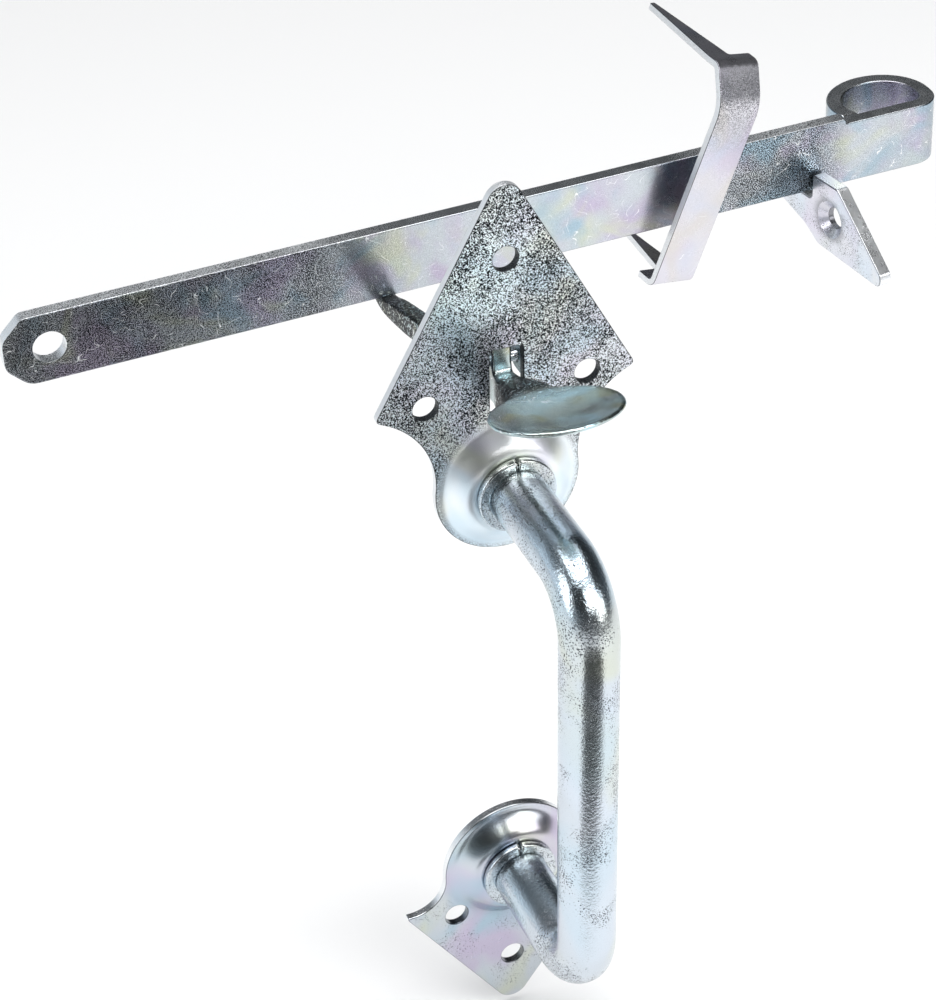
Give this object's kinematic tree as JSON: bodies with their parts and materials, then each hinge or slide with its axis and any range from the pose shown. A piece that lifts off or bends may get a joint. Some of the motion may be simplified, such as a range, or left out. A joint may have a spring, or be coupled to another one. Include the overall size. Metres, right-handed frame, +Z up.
{
  "type": "thumb latch set",
  "caption": "Zinc-plated thumb latch set for a boarded door or gate: pull handle on two plates, thumb lever, latch bar with finger eye, bar staple and catch.",
  "frame": {"origin": "on the flat back face of the upper handle plate, on its centre line, between the top screw hole and the lever slot", "axes": "+X along the latch bar towards its finger eye, +Y back through the door, +Z up"},
  "size_m": [0.2894, 0.1753, 0.276],
  "materials": {
    "plate_zinc": "pressed sheet steel, bright zinc with blue passivation, fine grainy texture",
    "tube_zinc": "rolled steel tube, bright zinc with blue passivation, smooth with fine pits",
    "collar_zinc": "split steel ring, bright zinc with blue passivation",
    "forged_zinc": "forged steel, bright zinc with blue-green passivation, polished smooth",
    "pin_zinc": "peened steel pin, bright zinc",
    "bar_zinc": "drawn flat steel, bright zinc with lilac and blue passivation, light handling scratches",
    "strip_zinc": "bent steel strip, bright zinc with lilac grey passivation",
    "catch_zinc": "sheared steel plate, bright zinc with pale blue passivation"
  },
  "bodies": {
    "fixed_set": {"upper_plate": "plate_zinc", "lower_plate": "plate_zinc", "grip_tube": "tube_zinc", "upper_collar": "collar_zinc", "lower_collar": "collar_zinc", "lever_pivot_pin": "pin_zinc", "bar_staple": "strip_zinc", "catch_plate": "catch_zinc"},
    "thumb_lever": {"thumb_lever": "forged_zinc"},
    "latch_bar": {"latch_bar": "bar_zinc"}
  },
  "joints": [
    {"name": "bar_pivot", "type": "hinge", "parent": "fixed_set", "child": "latch_bar", "pos_m": [-0.0986, 0.08575, -0.0327], "axis": [0, -1, 0], "range_deg": [0, 7.5]},
    {"name": "thumb_pivot", "type": "hinge", "parent": "fixed_set", "child": "thumb_lever", "pos_m": [0, 0.0034, -0.015], "axis": [1, 0, 0], "range_deg": [0, 8]}
  ],
  "couplings": [
    {"joint": "thumb_pivot", "follows": "bar_pivot", "ratio": 1.06}
  ]
}
